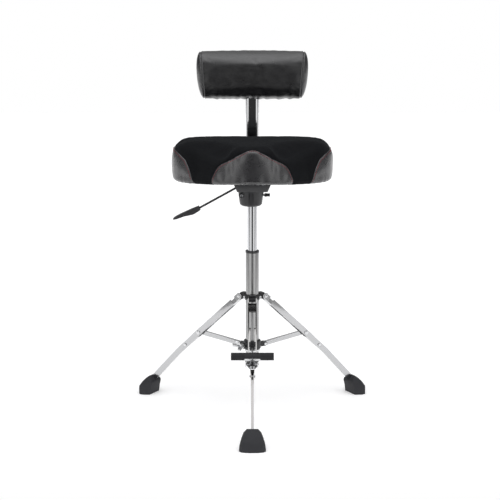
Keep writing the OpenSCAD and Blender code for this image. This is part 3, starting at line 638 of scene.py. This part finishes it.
def stitch_line(name, path, aim, spacing, length, radius, mat, body):
    """Short threads along a path; aim holds the surface normal at each point."""
    run = np.concatenate([[0], np.cumsum(np.linalg.norm(np.diff(path, axis=0), axis=1))])
    verts, faces = [], []
    count = int(run[-1] / spacing)
    ring, along = 6, 5
    for i in range(count):
        a = (i + 0.5) * spacing - length / 2
        ends = [np.array([np.interp(a + length * k, run, path[:, c]) for c in range(3)])
                for k in (0, 1)]
        middle = (ends[0] + ends[1]) / 2
        up = np.array([np.interp(a + length / 2, run, aim[:, c]) for c in range(3)])
        up /= np.linalg.norm(up)
        direction = ends[1] - ends[0]
        if np.linalg.norm(direction) < 1e-6:
            continue
        direction /= np.linalg.norm(direction)
        direction -= up * np.dot(direction, up)
        direction /= np.linalg.norm(direction)
        side = np.cross(up, direction)
        start = len(verts)
        for k in range(along):
            w = k / (along - 1)
            fat = radius * (0.35 + 0.65 * math.sin(math.pi * w) ** 0.5)
            lift = radius * (-0.7 + 1.1 * math.sin(math.pi * w))
            centre = middle + direction * (w - 0.5) * length + up * lift
            for q in range(ring):
                t = 2 * math.pi * q / ring
                verts.append(centre + (side * math.cos(t) + up * math.sin(t)) * fat)
        faces += grid_faces(along, ring, True, start)
        faces.append(tuple(start + q for q in range(ring))[::-1])
        faces.append(tuple(start + (along - 1) * ring + q for q in range(ring)))
    obj = new_object(name, row_frame(verts), faces, mat)
    fix_normals(obj)
    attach(obj, body)


def make_panel(name, cols, seam_row, seam, first_row):
    """Leather patch from under the rim up to its seam, with a turned edge and small puckers."""
    rows = 34
    share = np.linspace(0, 1, rows) ** 0.8
    r = first_row + (seam_row[None, :] - first_row) * share[:, None]
    c = np.broadcast_to(cols, r.shape)
    base = sample(grid, r, c)
    n = sample(normals, r, c)
    n /= np.maximum(np.linalg.norm(n, axis=2, keepdims=True), 1e-9)
    gap = nearest_distance(base, seam)
    gap = np.minimum(gap, nearest_distance(base, back_seam)) if name != "front" else gap
    run = np.cumsum(np.linalg.norm(np.diff(seam, axis=0, prepend=seam[:1]), axis=1))
    ripple = np.sin(run / 11 * 2 * math.pi + 2 * np.sin(run / 37)) * np.exp(-gap / 5)
    lift = 1.5 * (1 - np.exp(-(gap / 1.6) ** 2)) - 0.55 + 0.18 * ripple
    lift += 0.5 * np.exp(-((gap - 1.7) / 0.9) ** 2) - 0.6 * np.exp(-((gap - 4.4) / 0.9) ** 2)
    points = base + n * lift[..., None]
    points[:, :, 2] = np.maximum(points[:, :, 2], SEAT_BOTTOM - 2.2)
    back = base - n * 1.2
    flat = np.vstack([points.reshape(-1, 3), back.reshape(-1, 3)])
    count = rows * len(cols)
    faces = grid_faces(rows, len(cols), False)
    faces += [tuple(count + i for i in f[::-1]) for f in grid_faces(rows, len(cols), False)]
    last = len(cols) - 1
    for i in range(rows - 1):
        a, b = i * len(cols), (i + 1) * len(cols)
        faces.append((a, b, count + b, count + a))
        faces.append((b + last, a + last, count + a + last, count + b + last))
    for j in range(last):
        a = (rows - 1) * len(cols)
        faces.append((j + 1, j, count + j, count + j + 1))
        faces.append((a + j, a + j + 1, count + a + j + 1, count + a + j))
    obj = new_object("seat_panel_" + name, row_frame(flat), faces, PANEL)
    fix_normals(obj)
    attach(obj, "seat")
    # The stitch line runs inside the seam
    centre = base[: rows // 2].reshape(-1, 3).mean(0)
    path, aim = [], []
    for i in range(len(seam)):
        tangent_here = seam[min(i + 2, len(seam) - 1)] - seam[max(i - 2, 0)]
        up = n[-1, i]
        inward = np.cross(up, tangent_here)
        inward /= max(np.linalg.norm(inward), 1e-9)
        if np.dot(inward, centre - seam[i]) < 0:
            inward = -inward
        if inward[2] > 0.35:
            inward = -inward
        p = seam[i] + inward * 4.4 + up * 0.75
        if p[2] > SEAT_BOTTOM + 3:
            path.append(p)
            aim.append(up)
    stitch_line("seat_stitches_" + name, np.array(path), np.array(aim),
                5.6, 4.3, 0.75, THREAD, "seat")


for name, (cols, _) in PANELS.items():
    make_panel(name, cols, panel_rows[name], seams[name], ROW_RIM - 5.5)


def bottom_cover():
    """Dust cover below the board, with a folded edge, and the staples that hold it."""
    ring_out = outline - outward * 31
    ring_in = outline - outward * 36
    z_out = seat_base_at(ring_out[:, 1])
    rows = []
    for k in np.linspace(0.04, 1, 9):
        xy = ring_in * k
        rows.append(np.column_stack([xy, seat_base_at(xy[:, 1]) - 0.8 + 0.25 * np.sin(
            xy[:, 0] * 0.06) * np.sin(xy[:, 1] * 0.07)]))
    rows.append(np.column_stack([ring_out, z_out - 1.7]))
    rows.append(np.column_stack([ring_out + outward * 0.7, z_out - 0.9]))
    rows.append(np.column_stack([ring_out, z_out + 0.3]))
    rows.append(np.column_stack([ring_in * 0.5, seat_base_at(ring_in[:, 1] * 0.5) + 0.4]))
    verts, faces = closed_grid(row_frame(np.array(rows)))
    obj = new_object("seat_dust_cover", verts, faces, LINING)
    fix_normals(obj)
    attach(obj, "seat")
    verts, faces = [], []
    line = outline - outward * 33.5
    step = 7
    for j in range(0, RING, step):
        p, d = line[j], tangent[j]
        z = float(seat_base_at(p[1])) - 2.1
        side = np.array([-d[1], d[0]])
        skew = random.uniform(-0.35, 0.35)
        along = d * math.cos(skew) + side * math.sin(skew)
        across = np.array([-along[1], along[0]])
        start = len(verts)
        for k in (-5, 5):
            for w, h in ((-0.5, 0), (0.5, 0), (0.5, 1.1), (-0.5, 1.1)):
                q = p + along * k + across * w
                verts.append((q[0], q[1], z + h))
        for q in range(4):
            w = (q + 1) % 4
            faces.append((start + q, start + w, start + 4 + w, start + 4 + q))
        faces.append((start + 3, start + 2, start + 1, start))
        faces.append((start + 4, start + 5, start + 6, start + 7))
    staples = new_object("seat_staples", row_frame(verts), faces, STEEL, smooth=False)
    fix_normals(staples)
    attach(staples, "seat")


bottom_cover()


# ------------------------------------------------------------------ backrest

PAD_Y = (PAD_LOW.y + PAD_HIGH.y) / 2 / MM - AXIS_Y / MM
PAD_Z = (PAD_LOW.z + PAD_HIGH.z) / 2 / MM
HALF_W = (PAD_HIGH.x - PAD_LOW.x) / 2 / MM
HALF_D = (PAD_HIGH.y - PAD_LOW.y) / 2 / MM
HALF_H = (PAD_HIGH.z - PAD_LOW.z) / 2 / MM
SEAM_X = HALF_W - 18.5
AROUND = 220
DOME = (0.995, 0.97, 0.93, 0.86, 0.77, 0.66, 0.54, 0.42, 0.31, 0.21, 0.13, 0.07, 0.03)


def pad_section(shrink):
    """Upright section of the bolster, rounder in front and flat against its board behind."""
    pts = []
    for a in np.linspace(0, 2 * math.pi, 721)[:-1]:
        c, s = math.cos(a), math.sin(a)
        deep, tall = (0.42, 0.74) if c > 0 else (0.8, 0.86) if s > 0 else (0.6, 0.6)
        pts.append(((HALF_D + (1.0 if c > 0 else 0) - shrink) * math.copysign(abs(c) ** deep, c),
                    (HALF_H - shrink) * math.copysign(abs(s) ** tall, s)))
    return even_ring(np.array(pts), AROUND)[0]


def pad_form(shrink):
    """Rings along X from one domed end to the other."""
    section = pad_section(shrink)
    stations = []
    cap = HALF_W - SEAM_X
    for w in DOME:
        stations.append((-(SEAM_X + cap * w), (1 - w ** 2.3) ** (1 / 2.3)))
    body = np.linspace(-SEAM_X, SEAM_X, 150)
    stations += [(x, 1.0) for x in body]
    stations += [(-x, k) for x, k in stations[:len(DOME)][::-1]]
    rings = []
    for x, k in stations:
        reach = x * (1 - shrink / HALF_W)
        tilt = 5.5 * np.clip(abs(x) / SEAM_X, 0, 1) ** 4 * (1 if x > 0 else -1)
        yz = section * (k * 0.985 + 0.015 * (1 - (x / HALF_W) ** 2) * k)
        xs = reach + tilt * (yz[:, 1] / HALF_H - 0.45)
        rings.append(np.column_stack([np.clip(xs, -HALF_W + shrink, HALF_W - shrink),
                                      PAD_Y + yz[:, 0], PAD_Z + yz[:, 1]]))
    return np.array(rings)


verts, faces = closed_grid(row_frame(pad_form(PAD_SHRINK)))
flat_y = AXIS_Y + (PAD_Y + HALF_D - 5) * MM
pad_tree = simulate("pad_sim", verts, faces, 0.0045, 4.0, 0.0025,
                    lambda co: 1.0 if co.y > flat_y else 0.0)
pad = drape(pad_form(0.0), pad_tree, 3)
normals = grid_normals(pad)
if np.dot(normals[80, AROUND // 2], (0, -1, 0)) < 0:
    normals = -normals
rows_n = pad.shape[0]
x_share = np.linspace(0, 1, rows_n)
under = np.clip(-(pad[:, :, 2] - PAD_Z) / HALF_H, 0, 1)
pull = under ** 4 * (wave_noise(x_share, 21, 5, 18, 10)[:, None]
                     + 0.2 * wave_noise(x_share, 22, 14, 34, 8)[:, None])
upper = np.clip((pad[:, :, 2] - PAD_Z) / HALF_H, 0, 1) ** 6
pull += 0.3 * upper * wave_noise(x_share, 23, 4, 16, 6)[:, None]
inner = np.clip((HALF_W - 18 - np.abs(pad[:, :, 0])) / 14, 0, 1)
pad += normals * (1.1 * pull * inner)[..., None]
SEAM_ROWS = (len(DOME) - 1, rows_n - len(DOME))
seam_curves = [pad[r] for r in SEAM_ROWS]
gap = np.minimum(*[nearest_distance(pad, np.vstack([c, c[:1]])) for c in seam_curves])
seam_shift = -1.5 * np.exp(-(gap / 1.5) ** 2)
seam_shift += 0.35 * np.exp(-((gap - 3.6) / 2.2) ** 2)
creases = wave_noise(np.arange(AROUND) / AROUND, 31, 10, 40, 8)[None, :] * np.exp(-gap / 9)
pad_cover = pad + normals * (seam_shift + 0.3 * creases)[..., None]
verts, faces = closed_grid(row_frame(pad_cover))
backrest_cover = new_object("backrest_cover", verts, faces, BLACK)
fix_normals(backrest_cover)
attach(backrest_cover, "backrest")
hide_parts("backrest_pad")
normals = grid_normals(pad_cover)
if np.dot(normals[80, AROUND // 2], (0, -1, 0)) < 0:
    normals = -normals
for side, row in (("left", SEAM_ROWS[0]), ("right", SEAM_ROWS[1])):
    for which, offset in (("inner", 3), ("outer", -3)):
        r = row + offset * (1 if side == "left" else -1)
        curve = np.vstack([pad_cover[r], pad_cover[r][:1]])
        aim = np.vstack([normals[r], normals[r][:1]])
        stitch_line(f"backrest_stitches_{side}_{which}", curve + aim * 0.3, aim,
                    5.2, 4.0, 0.5, GREY_THREAD, "backrest")


# ------------------------------------------------------------------ stage, light and camera

def stage_plane():
    m, t, b = material("floor_white", (0.92, 0.92, 0.92), 0.9)
    b.inputs["Specular IOR Level"].default_value = 0.0
    t.links.new(mix_color(t, noise(t, 3, 2), (0.93, 0.93, 0.93), (0.9, 0.9, 0.9)),
                b.inputs["Base Color"])
    b.inputs["Emission Color"].default_value = (1, 1, 1, 1)
    b.inputs["Emission Strength"].default_value = 0.3
    size, front_edge = 8.0, -0.62
    obj = new_object("floor", [(-size, front_edge, 0), (size, front_edge, 0), (size, size, 0),
                               (-size, size, 0)], [(0, 1, 2, 3)], m, smooth=False)


stage_plane()

world = bpy.data.worlds.new("studio")
bpy.context.scene.world = world
world.use_nodes = True
wt = world.node_tree
background = wt.nodes["Background"]
place = wt.nodes.new("ShaderNodeTexCoord")
split = wt.nodes.new("ShaderNodeSeparateXYZ")
wt.links.new(place.outputs["Generated"], split.inputs[0])


def ramp(tree, value, stops):
    n = tree.nodes.new("ShaderNodeValToRGB")
    while len(n.color_ramp.elements) < len(stops):
        n.color_ramp.elements.new(0.5)
    for e, (at, level) in zip(n.color_ramp.elements, stops):
        e.position = at
        e.color = (level, level, level, 1)
    tree.links.new(value, n.inputs["Fac"])
    return n.outputs["Color"]


# Studio round the object: two soft boxes beside a dark camera side, pale behind, bright overhead
facing = math_node(wt, "ARCCOSINE", math_node(wt, "DIVIDE",
                   math_node(wt, "MULTIPLY", split.outputs["Y"], -1.0),
                   math_node(wt, "MAXIMUM", math_node(wt, "SQRT", math_node(
                       wt, "ADD", math_node(wt, "MULTIPLY", split.outputs["X"], split.outputs["X"]),
                       math_node(wt, "MULTIPLY", split.outputs["Y"], split.outputs["Y"])), 0.0),
                       0.001)), 0.0)
around = math_node(wt, "DIVIDE", facing, math.pi)
LEVEL = 1.25
sides = ramp(wt, around, [(0.0, 0.03), (0.06, 0.035), (0.13, 0.8), (0.16, 1.0), (0.25, 1.0),
                          (0.32, 0.36), (0.46, 0.32), (0.56, 0.11), (0.74, 0.1), (0.84, 0.26),
                          (1.0, 0.3)])
overhead = ramp(wt, split.outputs["Z"], [(0.0, 0.0), (0.52, 0.0), (0.7, 0.3), (0.86, 0.95),
                                         (0.96, 0.95), (1.0, 0.5)])
overhead = math_node(wt, "MULTIPLY", overhead,
                     remap(wt, split.outputs["Y"], 0.0, 0.4, 1.0, 0.35))
low_side = remap(wt, split.outputs["Z"], -0.75, -0.28, 0.22, 1.0)
sky = wt.nodes.new("ShaderNodeMix")
sky.data_type = "RGBA"
wt.links.new(overhead, sky.inputs["Factor"])
wt.links.new(sides, sky.inputs["A"])
sky.inputs["B"].default_value = (1.5, 1.5, 1.52, 1)
level = wt.nodes.new("ShaderNodeMix")
level.data_type = "RGBA"
level.blend_type = "MULTIPLY"
level.inputs["Factor"].default_value = 1.0
wt.links.new(math_node(wt, "MULTIPLY", low_side, LEVEL), level.inputs["B"])
wt.links.new(sky.outputs["Result"], level.inputs["A"])
# The backdrop itself is plain white
seen = wt.nodes.new("ShaderNodeLightPath")
shown = wt.nodes.new("ShaderNodeMix")
shown.data_type = "RGBA"
wt.links.new(seen.outputs["Is Camera Ray"], shown.inputs["Factor"])
wt.links.new(level.outputs["Result"], shown.inputs["A"])
shown.inputs["B"].default_value = (1, 1, 1, 1)
wt.links.new(shown.outputs["Result"], background.inputs["Color"])
background.inputs["Strength"].default_value = 1.0


def area_light(name, place, aim, size, power):
    data = bpy.data.lights.new(name, "AREA")
    data.shape = "RECTANGLE"
    data.size, data.size_y = size
    data.energy = power
    obj = bpy.data.objects.new(name, data)
    obj.location = place
    direction = Vector(aim) - Vector(place)
    obj.rotation_euler = direction.to_track_quat("-Z", "Y").to_euler()
    bpy.context.scene.collection.objects.link(obj)


area_light("key_left", (-2.2, -2.2, 1.9), (0, 0, 0.7), (1.0, 1.6), 2)
area_light("key_right", (2.2, -2.2, 1.9), (0, 0, 0.7), (1.0, 1.6), 2)
area_light("top", (0, 0.2, 3.2), (0, 0, 0.6), (2.4, 2.0), 3)

camera_data = bpy.data.cameras.new("camera")
camera = bpy.data.objects.new("camera", camera_data)
bpy.context.scene.collection.objects.link(camera)
camera.location = (-0.0067, AXIS_Y - 4.3, 1.362)
camera.rotation_euler = (math.radians(78.47), 0, 0)
camera_data.sensor_width = 36
camera_data.lens = 108.6
camera_data.clip_end = 60
bpy.context.scene.camera = camera
bpy.context.scene.view_settings.view_transform = "Standard"
